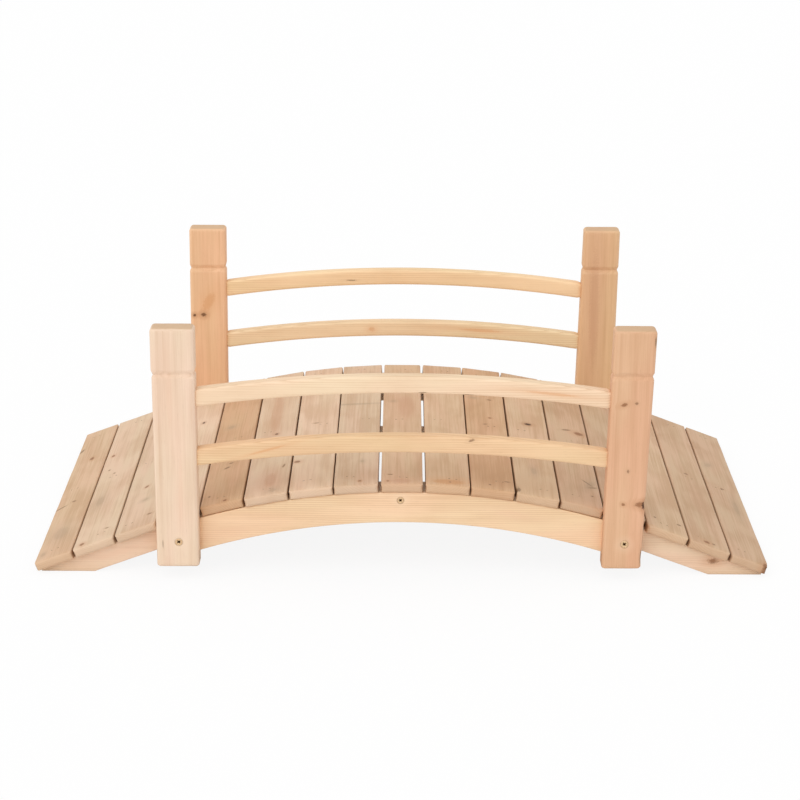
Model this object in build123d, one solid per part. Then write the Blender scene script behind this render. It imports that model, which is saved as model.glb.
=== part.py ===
from build123d import *
import math
import os

# Low arched garden footbridge in softwood, in millimetres, +Z up.
# The origin is on the ground, under the middle of the bridge. X runs along the walkway and -Y
# is the near side.

# Deck boards
deck_length = 1000.0
deck_width = 544.0
board_thickness = 12.0
board_width = 58.4
end_board_width = 54.1
board_pitch = 61.45
board_edge_round = 1.8

# Line of the deck's walking face: an arc in the middle that runs out into two straight ramps
deck_height = 134.0
deck_radius = 995.0
ramp_angle = 20.4

# Stringers under the deck
stringer_thickness = 34.0
middle_stringer_thickness = 20.0
stringer_depth = 30.5
stringer_setback = 12.0
stringer_end_setback = 10.0

# Face boards between the posts
face_board_setback = 0.5
face_board_depth = 44.0
face_board_under_radius = 910.0

# Posts
post_width = 54.6
post_depth = 30.0
post_spacing = 546.0
post_bottom = 19.5
post_top = 353.0
post_edge_round = 5.0
post_foot_round = 3.0
ring_drop = 60.0
ring_height = 9.0
ring_depth = 3.0

# Rails between the posts
rail_thickness = 19.5
rail_height = 20.5
rail_edge_round = 3.5
rail_radius = 1860.0
top_rail_crown = 286.5
low_rail_crown = 204.0

# Clearances where pieces meet
board_seat = 0.05
board_to_post = 0.3
end_fit = 0.2

# Two places nearer than this count as the same
tolerance = 0.001

# Sizes worked out from the ones above
half_width = deck_width / 2
stringer_outer = half_width - stringer_setback
stringer_inner = stringer_outer - stringer_thickness
stringer_end = deck_length / 2 - stringer_end_setback
post_inner = post_spacing / 2
post_outer = post_inner + post_width
post_middle = stringer_outer + post_depth / 2
face_board_end = post_inner - end_fit
face_board_front = half_width - face_board_setback
slope = math.radians(ramp_angle)
arc_centre = deck_height - deck_radius
arc_run = deck_radius * slope


def deck_point(run, depth=0.0):
    """Point (x, z) that lies depth below the walking face, run millimetres along it from the middle."""
    side = math.copysign(1.0, run)
    along = abs(run)
    angle = min(along, arc_run) / deck_radius
    past_arc = max(along - arc_run, 0.0)
    radius = deck_radius - depth
    x = radius * math.sin(angle) + past_arc * math.cos(slope)
    z = arc_centre + radius * math.cos(angle) - past_arc * math.sin(slope)
    return side * x, z


def deck_angle(run):
    """Tilt of the walking face in degrees, nose down on the right side."""
    return math.degrees(max(-arc_run, min(arc_run, run)) / deck_radius)


def ramp_x(z, depth):
    """X of the ramp line that lies depth below the walking face, where it comes down to z."""
    start_x, start_z = deck_point(arc_run, depth)
    return start_x + (start_z - z) / math.tan(slope)


def ramp_z(x, depth):
    """Height of the ramp line that lies depth below the walking face, at x."""
    start_x, start_z = deck_point(arc_run, depth)
    return start_z - (x - start_x) * math.tan(slope)


def upright_plate(outline, y_low, y_high):
    """Solid from a closed outline of edges drawn as (x, z), from y_low to y_high."""
    face = make_face(outline)
    plate = extrude(face, amount=y_high - y_low)
    return Plane(origin=(0, y_high, 0), x_dir=(1, 0, 0), z_dir=(0, -1, 0)) * plate


def arc_over(half_span, crown, radius):
    """Arc from -half_span to +half_span with its highest point at crown."""
    end_z = crown - radius + math.sqrt(radius**2 - half_span**2)
    return ThreePointArc((-half_span, end_z), (0, crown), (half_span, end_z)), end_z


def long_edges(solid, shortest):
    """Edges of a plate that follow its outline and are at least the given length."""
    return [e for e in solid.edges() if e.length >= shortest and abs((e @ 0).Y - (e @ 1).Y) < tolerance]


def board_meets_post(run):
    """True where some of a board lies level with the posts along the walkway."""
    inner_x, _ = deck_point(abs(run) - board_width / 2, board_thickness)
    outer_x, _ = deck_point(abs(run) + board_width / 2)
    return inner_x < post_outer + board_to_post and outer_x > post_inner - board_to_post


def make_board(index, last_index):
    """Deck board, counted from the middle of the bridge: the end ones are trimmed on their outer edge."""
    run = index * board_pitch
    width = board_width
    if abs(index) == last_index:
        width = end_board_width
        run -= math.copysign((board_width - end_board_width) / 2, run)
    length = deck_width
    if board_meets_post(run):
        length = 2 * (stringer_outer - board_to_post)
    x, z = deck_point(run)
    board = Box(width, length, board_thickness, align=(Align.CENTER, Align.CENTER, Align.MAX))
    board = fillet(board.edges().filter_by(Axis.Y), board_edge_round)
    return Pos(x, 0, z) * Rot(0, deck_angle(run), 0) * board


def make_stringer(y_low, y_high):
    """Full-length stringer from y_low to y_high: arched, with a flat foot at each end."""
    top_depth = board_thickness + board_seat
    under_depth = top_depth + stringer_depth
    top_start = deck_point(-arc_run, top_depth)
    top_end = deck_point(arc_run, top_depth)
    top_middle = deck_point(0, top_depth)
    under_start = deck_point(-arc_run, under_depth)
    under_end = deck_point(arc_run, under_depth)
    under_middle = deck_point(0, under_depth)
    end_z = ramp_z(stringer_end, top_depth)
    foot_x = ramp_x(0, under_depth)
    outline = [
        ThreePointArc(top_start, top_middle, top_end),
        Line(top_end, (stringer_end, end_z)),
        Line((stringer_end, end_z), (stringer_end, 0)),
        Line((stringer_end, 0), (foot_x, 0)),
        Line((foot_x, 0), under_end),
        ThreePointArc(under_end, under_middle, under_start),
        Line(under_start, (-foot_x, 0)),
        Line((-foot_x, 0), (-stringer_end, 0)),
        Line((-stringer_end, 0), (-stringer_end, end_z)),
        Line((-stringer_end, end_z), top_start),
    ]
    return upright_plate(outline, y_low, y_high)


def make_face_board():
    """Arched board on the near side, outside the stringer and between the posts."""
    top_depth = board_thickness + board_seat
    top_crown = deck_height - top_depth
    under_crown = deck_height - board_thickness - face_board_depth
    top_arc, top_z = arc_over(face_board_end, top_crown, deck_radius - top_depth)
    under_arc, under_z = arc_over(face_board_end, under_crown, face_board_under_radius)
    outline = [
        top_arc,
        Line((face_board_end, top_z), (face_board_end, under_z)),
        under_arc,
        Line((-face_board_end, under_z), (-face_board_end, top_z)),
    ]
    return upright_plate(outline, -face_board_front, -stringer_outer)


def make_post(side_x, side_y):
    """Post with rounded edges and a grooved ring below its top."""
    height = post_top - post_bottom
    post = Box(post_width, post_depth, height, align=(Align.CENTER, Align.CENTER, Align.MIN))
    post = fillet(post.edges().filter_by(Axis.Z), post_edge_round)
    post = fillet(post.faces().sort_by(Axis.Z)[-1].edges(), post_edge_round)
    post = fillet(post.faces().sort_by(Axis.Z)[0].edges(), post_foot_round)
    ring_z = height - ring_drop
    half_ring = ring_height / 2
    waist = Rectangle(post_width - 2 * ring_depth, post_depth - 2 * ring_depth)
    full = Rectangle(post_width, post_depth)
    collar = Box(post_width * 2, post_depth * 2, ring_height)
    lower = loft([Pos(0, 0, -half_ring) * full, waist])
    upper = loft([waist, Pos(0, 0, half_ring) * full])
    post -= Pos(0, 0, ring_z) * (collar - lower - upper)
    x = side_x * (post_inner + post_width / 2)
    y = side_y * post_middle
    return Pos(x, y, post_bottom) * post


def make_rail(crown):
    """Arched rail on the near side, between the inner faces of two posts."""
    end_x = post_inner - end_fit
    top_arc, top_z = arc_over(end_x, crown, rail_radius)
    under_arc, under_z = arc_over(end_x, crown - rail_height, rail_radius - rail_height)
    outline = [
        top_arc,
        Line((end_x, top_z), (end_x, under_z)),
        under_arc,
        Line((-end_x, under_z), (-end_x, top_z)),
    ]
    half_thickness = rail_thickness / 2
    rail = upright_plate(outline, -post_middle - half_thickness, -post_middle + half_thickness)
    return fillet(long_edges(rail, post_inner), rail_edge_round)


os.makedirs("parts", exist_ok=True)

pieces = {}
half_boards = round((deck_length - board_width) / 2 / board_pitch)
for index in range(-half_boards, half_boards + 1):
    pieces[f"deck_board_{index + half_boards + 1:02d}"] = make_board(index, half_boards)

half_middle = middle_stringer_thickness / 2
pieces["middle_stringer"] = make_stringer(-half_middle, half_middle)

near_pieces = {
    "stringer": make_stringer(-stringer_outer, -stringer_inner),
    "face_board": make_face_board(),
    "top_rail": make_rail(top_rail_crown),
    "low_rail": make_rail(low_rail_crown),
}
for name, piece in near_pieces.items():
    pieces[f"near_{name}"] = piece
    pieces[f"far_{name}"] = mirror(piece, about=Plane.XZ)

for side_y, row in ((-1, "near"), (1, "far")):
    for side_x, hand in ((-1, "left"), (1, "right")):
        pieces[f"{row}_{hand}_post"] = make_post(side_x, side_y)

for name, piece in pieces.items():
    export_step(piece, f"parts/{name}.step")
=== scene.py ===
import math
import random

import bpy
import numpy as np
from mathutils import Matrix, Vector


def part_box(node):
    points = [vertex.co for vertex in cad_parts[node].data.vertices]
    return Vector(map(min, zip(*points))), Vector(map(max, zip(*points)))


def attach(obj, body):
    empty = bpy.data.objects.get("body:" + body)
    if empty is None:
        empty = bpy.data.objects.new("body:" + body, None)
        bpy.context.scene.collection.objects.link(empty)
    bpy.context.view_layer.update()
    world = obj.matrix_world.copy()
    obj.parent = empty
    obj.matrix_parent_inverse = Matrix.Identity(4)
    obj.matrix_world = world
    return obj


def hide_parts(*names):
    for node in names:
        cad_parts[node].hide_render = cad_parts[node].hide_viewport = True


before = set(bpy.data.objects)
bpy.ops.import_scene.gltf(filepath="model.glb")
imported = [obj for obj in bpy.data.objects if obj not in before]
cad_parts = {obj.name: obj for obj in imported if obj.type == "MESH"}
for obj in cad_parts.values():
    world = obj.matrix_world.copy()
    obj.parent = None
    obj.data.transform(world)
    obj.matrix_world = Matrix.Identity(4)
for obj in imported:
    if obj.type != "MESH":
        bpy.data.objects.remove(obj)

bl_info = {
    "name": "Arched garden footbridge",
    "version": (1, 0, 0),
    "blender": (4, 5, 0),
    "location": "3D View > Sidebar > Footbridge",
    "description": "Dresses a low arched softwood footbridge: boards, stringers, posts, rails and fasteners",
    "category": "Object",
}

MM = 0.001
BODY = "root"
# Furthest that a piece's box may lie from the box of its node
PLACE_TOLERANCE = 5.5 * MM
# Radius of the dark rim of painted shade round a screw, with its pale halo of torn fibres, against the diameter of
# its head, and the dents that screws leave
RIM_SHARE = 0.64
DENT_REACH = 0.010
POST_DENT_DEPTH = 0.0017
FACE_DENT_DEPTH = 0.0016
ROWS = {"near": -1, "far": 1}
HANDS = {"left": -1, "right": 1}

# Distance between the rings of points along boards, stringers, posts and the other plates
BOARD_STEP, STRINGER_STEP, POST_STEP, PLATE_STEP = 0.006, 0.007, 0.0025, 0.006
# Seeds of the random draws: for each kind of piece its first seed, and where it is wood also the first seed of the
# grain and the step from one piece to the next
SEEDS = {
    "deck_board": (100, 0, 3.7), "stringer": (300, 61, 5), "face_board": (320, 83, 9), "post": (400, 121, 7),
    "rail": (500, 211, 11), "screw": 40, "deck": 17, "staples": 5,
}


def srgb(red, green, blue):
    """Linear colour with alpha from an 8-bit display colour."""
    channels = [c / 255 for c in (red, green, blue)]
    linear = [c / 12.92 if c <= 0.04045 else ((c + 0.055) / 1.055) ** 2.4 for c in channels]
    return (*linear, 1.0)


# Settings


def length_setting(name, description, default):
    """Length property in metres."""
    return bpy.props.FloatProperty(
        name=name, description=description, default=default, subtype="DISTANCE", unit="LENGTH")


def angle_setting(name, description, default):
    """Angle property in radians."""
    return bpy.props.FloatProperty(
        name=name, description=description, default=default, subtype="ANGLE", unit="ROTATION")


def colour_setting(name, description, default):
    """Colour property whose default is an 8-bit display colour."""
    return bpy.props.FloatVectorProperty(
        name=name, description=description, default=srgb(*default)[:3], size=3, subtype="COLOR", min=0.0, max=1.0)


class DeckSettings(bpy.types.PropertyGroup):
    """Line and boards of the deck."""

    radius: length_setting("Deck radius", "Radius of the arched middle of the walking face", 0.995)
    height: length_setting("Deck height", "Height of the walking face in the middle of the bridge", 0.134)
    ramp_angle: angle_setting("Ramp angle", "Slope of the straight ends of the deck", math.radians(20.4))
    board_width: length_setting("Board width", "Width of a full deck board", 0.0588)
    middle_board_trim: length_setting(
        "Middle board trim", "How much narrower the middle board is than the others",
        0.0028)
    inner_board_gain: length_setting(
        "Inner board gain", "How much wider the boards beside the middle one are",
        0.0008)
    end_board_width: length_setting("End board width", "Width of the trimmed board at each end", 0.0535)
    board_thickness: length_setting("Board thickness", "Thickness of the deck boards", 0.013)
    board_pitch: length_setting("Board pitch", "Distance from one board to the next along the deck", 0.06145)
    board_reach: length_setting(
        "Board reach", "How far the boards between the posts reach past the others on the near side",
        0.0035)
    edge_round: length_setting("Edge round", "Rounding of the long edges of a board", 0.0015)
    end_round: length_setting("End round", "Rounding of the sawn ends of a board", 0.0045)


class CarcassSettings(bpy.types.PropertyGroup):
    """Stringers and face boards under the deck."""

    stringer_depth: length_setting("Stringer depth", "Depth of a stringer under the boards", 0.0295)
    face_board_depth: length_setting("Face board depth", "Depth of a face board under the middle board", 0.043)
    face_board_under_radius: length_setting("Face board radius", "Radius of the lower edge of a face board", 0.910)
    seat: length_setting("Board seat", "Clearance between the boards and what carries them", 0.00005)
    edge_round: length_setting("Edge round", "Broken edge along the stringers and face boards", 0.0012)


class PostSettings(bpy.types.PropertyGroup):
    """The four posts."""

    edge_round: length_setting("Edge round", "Rounding of the upright edges and of the top", 0.005)
    foot_round: length_setting("Foot round", "Rounding of the lower end", 0.003)
    ring_drop: length_setting(
        "Ring drop", "Distance from the top of the post to the middle of the cut ring",
        0.063)
    ring_height: length_setting("Ring height", "Height of the cut ring", 0.010)
    ring_depth: length_setting("Ring depth", "Depth of the cut ring", 0.0021)


class RailSettings(bpy.types.PropertyGroup):
    """The arched rails between the posts."""

    height: length_setting("Rail height", "Height of a rail's section in the middle", 0.0235)
    crown_lift: length_setting(
        "Crown lift", "How far the middle of a rail stands above its place in the frame",
        0.0012)
    radius: length_setting("Rail radius", "Radius of the upper edge of a rail", 1.860)
    edge_round: length_setting("Edge round", "Rounding of the long edges of a rail", 0.0035)
    tenon: length_setting("Rail tenon", "How far the ends of a rail go into the posts", 0.0035)


class FastenerSettings(bpy.types.PropertyGroup):
    """Screws in the posts and face boards, staples in the deck."""

    screw_diameter: length_setting("Screw head", "Diameter of a screw head in a post", 0.0102)
    face_screw_diameter: length_setting(
        "Face board screw head", "Diameter of a screw head in a face board",
        0.0088)
    face_screw_shift: length_setting(
        "Face screw shift", "How far right of the middle a face board's screw sits",
        -0.0018)
    face_screw_drop: length_setting(
        "Face screw drop", "Distance from the crown of the deck to a face board's screw",
        0.0125)
    screw_rise: length_setting("Screw height", "Height of a post's screw above the foot of the post", 0.0355)
    screw_sink: length_setting("Screw sink", "How far a screw head lies below the face of the wood", 0.0002)
    screw_seat: bpy.props.FloatProperty(
        name="Screw seat", description="Radius of the dent round a screw against the diameter of its head",
        default=0.62, min=0.5, max=1.0, subtype="FACTOR")
    staple_crown: length_setting(
        "Staple crown", "Width of a staple's crown, whose two ends show in the board",
        0.0095)


class WoodSettings(bpy.types.PropertyGroup):
    """Look of the bare softwood and of the fasteners."""

    deck_tone: colour_setting("Deck colour", "Greyish beige of the deck boards", (216, 183, 151))
    post_tone: colour_setting("Post colour", "Pinkish beige of the posts", (228, 186, 152))
    rail_tone: colour_setting("Rail colour", "Pale straw of the rails", (241, 209, 171))
    face_board_tone: colour_setting("Face board colour", "Warm yellow of the face boards", (244, 211, 175))
    stringer_tone: colour_setting("Stringer colour", "Pale pink of the stringers", (237, 208, 181))
    zinc_tone: colour_setting("Screw colour", "Yellow zinc of the screws", (236, 206, 166))
    steel_tone: colour_setting("Staple colour", "Tarnished steel of the staples", (112, 84, 62))
    ring_pitch: bpy.props.FloatProperty(
        name="Growth rings", description="Distance between growth rings in millimetres",
        default=3.0, min=0.5, max=12.0)
    contrast: bpy.props.FloatProperty(
        name="Grain contrast", description="Strength of rings, streaks and fibres in the colour",
        default=1.0, min=0.0, max=3.0)
    relief: length_setting("Grain relief", "Height of the raised grain", 0.00010)
    wear: length_setting("Wear", "How far edges and faces are worn back", 0.0004)


class StageSettings(bpy.types.PropertyGroup):
    """Floor, lamps and camera."""

    dome: bpy.props.FloatProperty(
        name="Dome light", description="Level of the even light from all round",
        default=0.80, min=0.0, max=2.0)
    key: bpy.props.FloatProperty(
        name="Key lamp", description="Strength of the broad lamp at the front left",
        default=0.90, min=0.0, max=5.0)
    key_spread: angle_setting(
        "Key spread", "How broad the lamp at the front left looks from the bridge",
        math.radians(55.0))
    floor_glow: bpy.props.FloatProperty(
        name="Floor white", description="Share of plain white in what the camera sees of the floor",
        default=0.9, min=0.0, max=1.0, subtype="FACTOR")
    lens: bpy.props.FloatProperty(
        name="Focal length", description="Focal length on a sensor 36 mm wide",
        default=102.69, min=10.0, max=500.0, subtype="DISTANCE_CAMERA", unit="CAMERA")
    eye: bpy.props.FloatVectorProperty(
        name="Camera place", description="Where the camera stands",
        default=(-0.00167, -3.14344, 1.18313), size=3, subtype="TRANSLATION", unit="LENGTH")
    pitch: angle_setting("Camera pitch", "How far the camera looks down", 0.31373)
    yaw: angle_setting("Camera yaw", "How far the camera is turned to the right", -0.00052)
    roll: angle_setting("Camera roll", "How far the camera is rolled", -0.00522)


SETTINGS = {
    "footbridge_deck": DeckSettings,
    "footbridge_carcass": CarcassSettings,
    "footbridge_posts": PostSettings,
    "footbridge_rails": RailSettings,
    "footbridge_fasteners": FastenerSettings,
    "footbridge_wood": WoodSettings,
    "footbridge_stage": StageSettings,
}


def chosen(*names):
    """Groups of settings of the scene, by the last word of their attribute."""
    return [getattr(bpy.context.scene, f"footbridge_{name}") for name in names]


# Shapes


def spaced(low, high, step):
    """Even places from low to high, about step apart."""
    return np.linspace(low, high, max(2, int(round((high - low) / step)) + 1))


def outline(width, height, radius, side_steps, end_steps, corner_steps=5):
    """Rounded rectangle round the origin as points (u, v), anticlockwise, with the sides divided."""
    radius = max(min(radius, width / 2.001, height / 2.001), 1e-6)
    half_w, half_h = width / 2 - radius, height / 2 - radius
    corners = [(half_w, half_h), (-half_w, half_h), (-half_w, -half_h), (half_w, -half_h)]
    points = []
    for number, (u, v) in enumerate(corners):
        start = number * math.pi / 2
        for turn in np.linspace(0, math.pi / 2, corner_steps):
            points.append((u + radius * math.cos(start + turn), v + radius * math.sin(start + turn)))
        steps = side_steps if number % 2 == 0 else end_steps
        u_next, v_next = corners[(number + 1) % 4]
        reach = start + math.pi / 2
        first = np.array([u + radius * math.cos(reach), v + radius * math.sin(reach)])
        last = np.array([u_next + radius * math.cos(reach), v_next + radius * math.sin(reach)])
        for share in np.linspace(0, 1, steps + 2)[1:-1]:
            points.append(tuple(first + (last - first) * share))
    return np.array(points)


def end_insets(reach, radius, steps=5):
    """Places near a rounded end, and how far the section is drawn in there: pairs (place, inset)."""
    pairs = []
    for turn in np.linspace(0, math.pi / 2, steps):
        pairs.append((reach - radius * (1 - math.sin(turn)), radius * (1 - math.cos(turn))))
    return pairs


def tube_faces(rows, count, start, end):
    """Faces through rows of points with count points each, closed at the points start and end."""
    faces = []
    following = [(i, (i + 1) % count) for i in range(count)]
    for row in range(rows - 1):
        low, high = row * count, (row + 1) * count
        faces += [(low + i, low + j, high + j, high + i) for i, j in following]
    last = (rows - 1) * count
    for i, j in following:
        faces += [(start, j, i), (end, last + i, last + j)]
    return faces


def smooth_mesh(name, points, faces):
    """Smoothly shaded mesh."""
    mesh = bpy.data.meshes.new(name)
    mesh.from_pydata(points, [], faces)
    mesh.polygons.foreach_set("use_smooth", [True] * len(mesh.polygons))
    mesh.update()
    return mesh


def swept_mesh(name, rings):
    """Closed mesh through rings of points, with each end filled by two smaller rings and a middle point."""
    def cap(ring):
        middle = ring.mean(axis=0)
        return [middle + (ring - middle) * share for share in (0.7, 0.35)], middle

    first_caps, first_middle = cap(rings[0])
    last_caps, last_middle = cap(rings[-1])
    rings = first_caps[::-1] + list(rings) + last_caps
    points = np.concatenate(rings + [first_middle[None], last_middle[None]])
    faces = tube_faces(len(rings), len(rings[0]), len(points) - 2, len(points) - 1)
    return smooth_mesh(name, points.tolist(), faces)


def ripple(points, wavelength, seed, waves=7):
    """Smooth random value from 0 to 1 at each point."""
    rng = np.random.default_rng(seed)
    total = np.zeros(len(points))
    for _ in range(waves):
        direction = rng.normal(size=3)
        direction /= np.linalg.norm(direction)
        pitch = wavelength * rng.uniform(0.7, 1.8)
        total += np.sin(points @ direction * (2 * math.pi / pitch) + rng.uniform(0, 2 * math.pi))
    return np.clip(0.5 + total / (2.2 * math.sqrt(waves)), 0, 1)


def weather(mesh, wear, seed, grain_axis, dents=()):
    """Wears a mesh back, most at its edges, and presses dents in, each (place, radius, depth)."""
    points = np.zeros(len(mesh.vertices) * 3)
    mesh.vertices.foreach_get("co", points)
    points = points.reshape(-1, 3)
    normals = np.zeros(len(mesh.vertices) * 3)
    mesh.vertex_normals.foreach_get("vector", normals)
    normals = normals.reshape(-1, 3)
    along = np.ones(3)
    along[grain_axis] = 0.35
    edge = np.clip((1 - np.abs(normals).max(axis=1)) / 0.29, 0, 1)
    drop = wear * 0.35 * ripple(points * along, 0.045, seed)
    drop += wear * edge * ripple(points * along, 0.018, seed + 1) ** 2 * 1.6
    for place, radius, depth in dents:
        reach = np.linalg.norm((points - np.array(place)) / np.array(radius), axis=1)
        drop += depth * np.clip(1 - reach, 0, 1) ** 0.7
    mesh.vertices.foreach_set("co", (points - normals * drop[:, None]).ravel())
    mesh.update()


def bar(name, width, height, length, edge_round, end_round, step, across=10, up=2):
    """Rounded bar along Y round the origin."""
    half = length / 2
    ends = end_insets(half, end_round)
    places = [(-place, inset) for place, inset in ends[::-1]]
    places += [(place, 0.0) for place in spaced(-half + end_round, half - end_round, step)[1:-1]]
    places += ends
    rings = []
    for y, inset in sorted(places):
        radius = max(edge_round - inset * 0.5, MM * 0.3)
        section = outline(width - 2 * inset, height - 2 * inset, radius, across, up)
        rings.append(np.column_stack([section[:, 0], np.full(len(section), y), section[:, 1]]))
    return swept_mesh(name, rings[::-1])


def plate(name, stations, lower, upper, y_low, y_high, edge_round, across=6, up=6):
    """Upright plate whose lower and upper edges are functions of x, with broken edges all round."""
    middle = (y_low + y_high) / 2
    first, last = stations[0], stations[-1]
    rings = []
    for x in stations:
        from_end = min(x - first, last - x)
        inset = max(edge_round - from_end, 0)
        inset = edge_round - math.sqrt(max(edge_round**2 - inset**2, 0))
        low, high = lower(x) + inset, upper(x) - inset
        radius = max(edge_round - inset * 0.6, MM * 0.2)
        section = outline(y_high - y_low - 2 * inset, high - low, radius, across, up)
        rings.append(np.column_stack([
            np.full(len(section), x), middle + section[:, 0], (low + high) / 2 + section[:, 1]]))
    return swept_mesh(name, rings)


def plate_stations(half_span, edge_round, step, extra=()):
    """Places along x for a plate, close together at its two ends and with the extra places included."""
    ends = half_span - edge_round * np.array([0, 0.15, 0.4, 0.7, 1.0])
    inner = spaced(-ends[-1], ends[-1], step)[1:-1]
    return np.array(sorted(set(np.round(np.concatenate([-ends, inner, ends, list(extra)]), 7))))


def arc(crown, radius):
    """Height along x of an arc whose highest point is the crown."""
    return lambda x: crown - radius + math.sqrt(radius**2 - x**2)


def deck_point(deck, run, depth=0.0):
    """Point (x, z) that lies depth below the walking face, run along it from the middle."""
    side = math.copysign(1, run)
    arc_run = deck.radius * deck.ramp_angle
    angle = min(abs(run), arc_run) / deck.radius
    past = max(abs(run) - arc_run, 0)
    reach = deck.radius - depth
    x = reach * math.sin(angle) + past * math.cos(deck.ramp_angle)
    z = deck.height - deck.radius + reach * math.cos(angle) - past * math.sin(deck.ramp_angle)
    return side * x, z


def deck_edge(deck, depth):
    """Height along x of the line that lies depth below the walking face."""
    turn_x, turn_z = deck_point(deck, deck.radius * deck.ramp_angle, depth)
    curve = arc(deck.height - depth, deck.radius - depth)
    slope = math.tan(deck.ramp_angle)
    return lambda x: curve(x) if abs(x) < turn_x else turn_z - (abs(x) - turn_x) * slope


def polar_screw(name, diameter, seed):
    """Countersunk screw head with a cross recess, facing +Z at the origin, with its cone below it."""
    radius = diameter / 2
    arm, waist, flare, arm_ease, waist_ease = [radius * share for share in (0.62, 0.17, 0.14, 0.12, 0.07)]
    recess_depth, floor_depth, dish_depth, rim_drop = [radius * share for share in (0.17, 0.11, 0.05, 0.10)]
    rim_start = 0.93
    spokes, circles = 72, 22
    turns = [2 * math.pi * spoke / spokes for spoke in range(spokes)]

    def height(x, y, share):
        """Height of the head's face at a share of its radius."""
        along, side = max(abs(x), abs(y)), min(abs(x), abs(y))
        half_width = waist + flare * (1 - along / arm)
        inside = min((arm - along) / arm_ease, (half_width - side) / waist_ease)
        taper = 1 - 0.55 * along / arm if along < arm else 0
        recess = recess_depth * min(max(inside, 0), 1) * taper
        return -recess - dish_depth * (1 - share**2) - rim_drop * max(share - rim_start, 0) / (1 - rim_start)

    rows = []
    for circle in range(1, circles + 1):
        share = circle / circles
        flat = [(radius * share * math.cos(turn), radius * share * math.sin(turn)) for turn in turns]
        rows.append([(x, y, height(x, y, share)) for x, y in flat])
    for share, drop in ((0.98, 0.22), (0.45, 0.9)):
        rows.append([(radius * share * math.cos(turn), radius * share * math.sin(turn), -drop * radius)
                     for turn in turns])
    points = [point for row in rows for point in row] + [(0, 0, -0.20 * radius), (0, 0, -radius)]
    top, bottom = len(points) - 2, len(points) - 1
    faces = [(first, *rest[::-1]) for first, *rest in tube_faces(len(rows), spokes, top, bottom)]
    mesh = smooth_mesh(name, points, faces)
    head = spokes * circles

    def in_recess(face):
        """True where a face lies down in the cross."""
        return top in face or all(
            i < head and points[i][2] < -floor_depth and math.hypot(*points[i][:2]) < arm for i in face[:3])

    # Faces down in the cross take the second material, a dark brown that paints the shade in the recess
    mesh.polygons.foreach_set("material_index", [int(in_recess(face)) for face in faces])
    mesh.transform(Matrix.Rotation(random.Random(seed).uniform(0, math.pi / 2), 4, "Z"))
    mesh.update()
    return mesh


def add_piece(name, mesh, material, node=None, matrix=None):
    """Object for a mesh in its material, which rides on the bridge and stands for its node."""
    mesh.materials.append(material)
    piece = bpy.data.objects.new(name, mesh)
    bpy.context.scene.collection.objects.link(piece)
    if matrix is not None:
        piece.matrix_world = matrix
    if node is not None:
        check_place(piece, node)
        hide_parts(node)
    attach(piece, BODY)
    return piece


def check_place(piece, node):
    """Raises unless the piece lies where its node is, within a few millimetres."""
    bpy.context.view_layer.update()
    low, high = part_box(node)
    corners = np.array([piece.matrix_world @ v.co for v in piece.data.vertices])
    gaps = np.abs([corners.min(axis=0) - np.array(low), corners.max(axis=0) - np.array(high)])
    gap = gaps.max()
    if gap > PLACE_TOLERANCE:
        raise ValueError(f"{piece.name} lies {gap / MM:.1f} mm away from {node}")


# Finishes


class Nodes:
    """Shorthand for building a tree of shader nodes."""

    def __init__(self, tree):
        self.tree = tree

    def new(self, kind, inputs=(), **settings):
        """Node of a kind, with the values or links of its inputs by name or number."""
        node = self.tree.nodes.new(kind)
        for key, value in settings.items():
            setattr(node, key, value)
        for key, value in dict(inputs).items():
            self.put(node.inputs[key], value)
        return node

    def put(self, socket, value):
        if isinstance(value, bpy.types.NodeSocket):
            self.tree.links.new(value, socket)
        else:
            socket.default_value = value

    def math(self, operation, *values, clamp=False):
        inputs = dict(enumerate(values))
        return self.new("ShaderNodeMath", inputs, operation=operation, use_clamp=clamp).outputs[0]

    def vector(self, operation, first, second=None, scale=None):
        given = {0: first, 1: second, "Scale": scale}
        inputs = {key: value for key, value in given.items() if value is not None}
        node = self.new("ShaderNodeVectorMath", inputs, operation=operation)
        return node.outputs["Value"] if operation == "LENGTH" else node.outputs[0]

    def split(self, vector):
        return self.new("ShaderNodeSeparateXYZ", {0: vector}).outputs

    def join(self, *parts):
        return self.new("ShaderNodeCombineXYZ", enumerate(parts)).outputs[0]

    def noise(self, vector, scale=1.0, detail=2.0, roughness=0.5, distortion=0.0):
        return self.new("ShaderNodeTexNoise", {
            "Vector": vector, "Scale": scale, "Detail": detail, "Roughness": roughness,
            "Distortion": distortion}).outputs["Fac"]

    def ease(self, value, low, high, start=0.0, end=1.0):
        return self.new("ShaderNodeMapRange", {
            "Value": value, "From Min": low, "From Max": high, "To Min": start, "To Max": end},
            interpolation_type="SMOOTHSTEP").outputs["Result"]

    def mix(self, share, first, second):
        node = self.new("ShaderNodeMix", data_type="RGBA", clamp_factor=True)
        for key, value in (("Factor", share), (6, first), (7, second)):
            self.put(node.inputs[key], value)
        return node.outputs[2]

    def surface(self, shader, kind="ShaderNodeOutputMaterial"):
        self.new(kind, {"Surface": shader.outputs[0]})


def group_tree(name, inputs, outputs):
    """Node group with the given sockets, each (name, kind, default), its builder, input and output."""
    tree = bpy.data.node_groups.new(name, "ShaderNodeTree")
    for label, kind, default in inputs:
        socket = tree.interface.new_socket(label, in_out="INPUT", socket_type=kind)
        if default is not None:
            socket.default_value = default
    for label, kind in outputs:
        tree.interface.new_socket(label, in_out="OUTPUT", socket_type=kind)
    nodes = Nodes(tree)
    return tree, nodes, nodes.new("NodeGroupInput").outputs, nodes.new("NodeGroupOutput").inputs


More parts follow.
